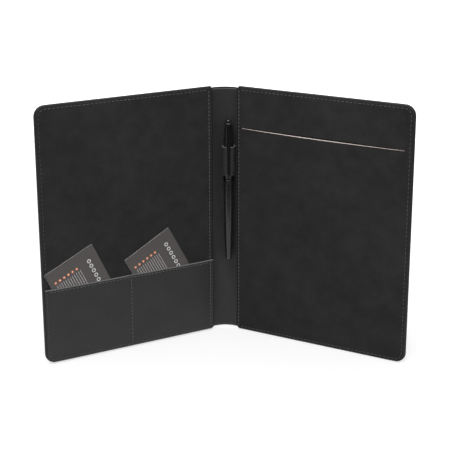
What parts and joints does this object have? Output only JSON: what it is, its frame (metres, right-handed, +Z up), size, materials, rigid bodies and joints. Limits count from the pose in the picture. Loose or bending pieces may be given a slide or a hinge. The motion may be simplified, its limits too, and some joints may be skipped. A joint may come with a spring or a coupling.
{
  "type": "organizer folder",
  "caption": "Padded leather organizer folder, half open, with a card pocket, a slit for a writing pad and a capped pen in a loop on the spine.",
  "frame": {"origin": "middle of the folder's box at the surface it stands on", "axes": "+X along the width of the open folder, towards the cover with the slit; +Y from the open side towards the spine's back; +Z up along the spine"},
  "size_m": [0.33, 0.0934, 0.24],
  "materials": {
    "outer_leather": "black grained leather, semi-matt",
    "smooth_leather": "charcoal smooth leather, fine grain, semi-matt",
    "suede_lining": "charcoal suede, matt and mottled",
    "foam": "grey foam sheet",
    "board": "plain grey-brown board",
    "card_stock": "dark coated card with small orange marks and grey rules",
    "pen_lacquer": "black lacquer, satin gloss",
    "pen_trim": "dark plated metal, bright edges",
    "grip_plastic": "black gloss plastic",
    "inner_plastic": "grey plastic",
    "refill_metal": "plain metal tube"
  },
  "bodies": {
    "spine": {"spine_cover": "outer_leather", "spine_lining": "smooth_leather", "pen_loop": "smooth_leather"},
    "left_cover": {"left_cover_skin": "outer_leather", "left_foam": "foam", "left_board": "board", "left_infill": "board", "left_lining": "suede_lining", "card_pocket": "smooth_leather"},
    "right_cover": {"right_cover_skin": "outer_leather", "right_foam": "foam", "right_board": "board", "right_lining": "suede_lining"},
    "pen_cap": {"cap_tube": "pen_lacquer", "cap_ring": "pen_trim", "cap_liner": "inner_plastic", "pen_clip": "pen_trim", "finial": "pen_lacquer"},
    "pen_barrel": {"barrel": "pen_lacquer", "barrel_ring": "pen_trim", "grip_section": "grip_plastic", "nib_cone": "pen_trim", "refill": "refill_metal", "end_plug": "pen_lacquer"},
    "outer_card": {"outer_card": "card_stock"},
    "inner_card": {"inner_card": "card_stock"}
  },
  "joints": [
    {"name": "left_cover_fold", "type": "hinge", "parent": "spine", "child": "left_cover", "pos_m": [-0.0127, 0.04167, 0.12], "axis": [0, 0, 1], "range_deg": [-29.5, 60.5]},
    {"name": "right_cover_fold", "type": "hinge", "parent": "spine", "child": "right_cover", "pos_m": [0.0127, 0.04167, 0.12], "axis": [0, 0, -1], "range_deg": [-29.5, 60.5]},
    {"name": "pen_slide", "type": "slide", "parent": "spine", "child": "pen_cap", "axis": [0, 0, 1], "range_m": [-0.02, 0.11]},
    {"name": "cap_pull", "type": "slide", "parent": "pen_cap", "child": "pen_barrel", "axis": [0, 0, -1], "range_m": [0, 0.045]},
    {"name": "outer_card_slide", "type": "slide", "parent": "left_cover", "child": "outer_card", "axis": [-0.3733, -0.2112, 0.9033], "range_m": [0, 0.06]},
    {"name": "inner_card_slide", "type": "slide", "parent": "left_cover", "child": "inner_card", "axis": [-0.4153, -0.235, 0.8788], "range_m": [0, 0.06]}
  ]
}
